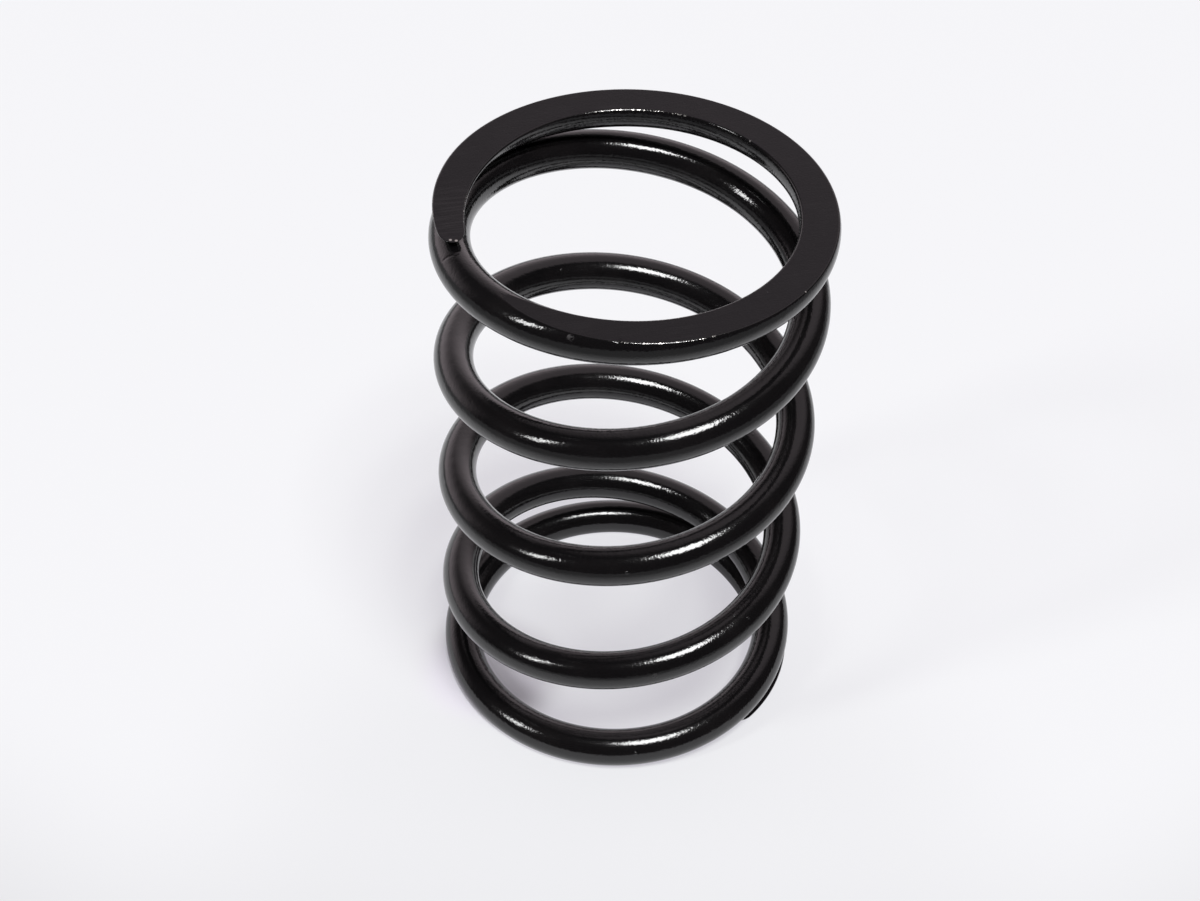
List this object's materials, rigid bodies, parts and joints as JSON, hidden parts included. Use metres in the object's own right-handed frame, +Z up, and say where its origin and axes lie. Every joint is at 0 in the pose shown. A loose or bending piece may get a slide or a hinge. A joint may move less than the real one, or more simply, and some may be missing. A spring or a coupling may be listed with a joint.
{
  "type": "clutch spring",
  "caption": "Right-hand wound compression spring of round black-painted wire, with closed ends ground flat, which presses a belt clutch's plates apart or together.",
  "frame": {"origin": "centre of the coil at the face of the bottom seat", "axes": "+Z up the coil's axis towards the top seat; +X through the tip of the bottom turn; +Y completes the right-handed frame"},
  "size_m": [0.055, 0.055, 0.087],
  "materials": {
    "painted_wire": "satin black paint over spring steel"
  },
  "bodies": {
    "root": {"clutch_spring": "painted_wire"}
  },
  "joints": []
}
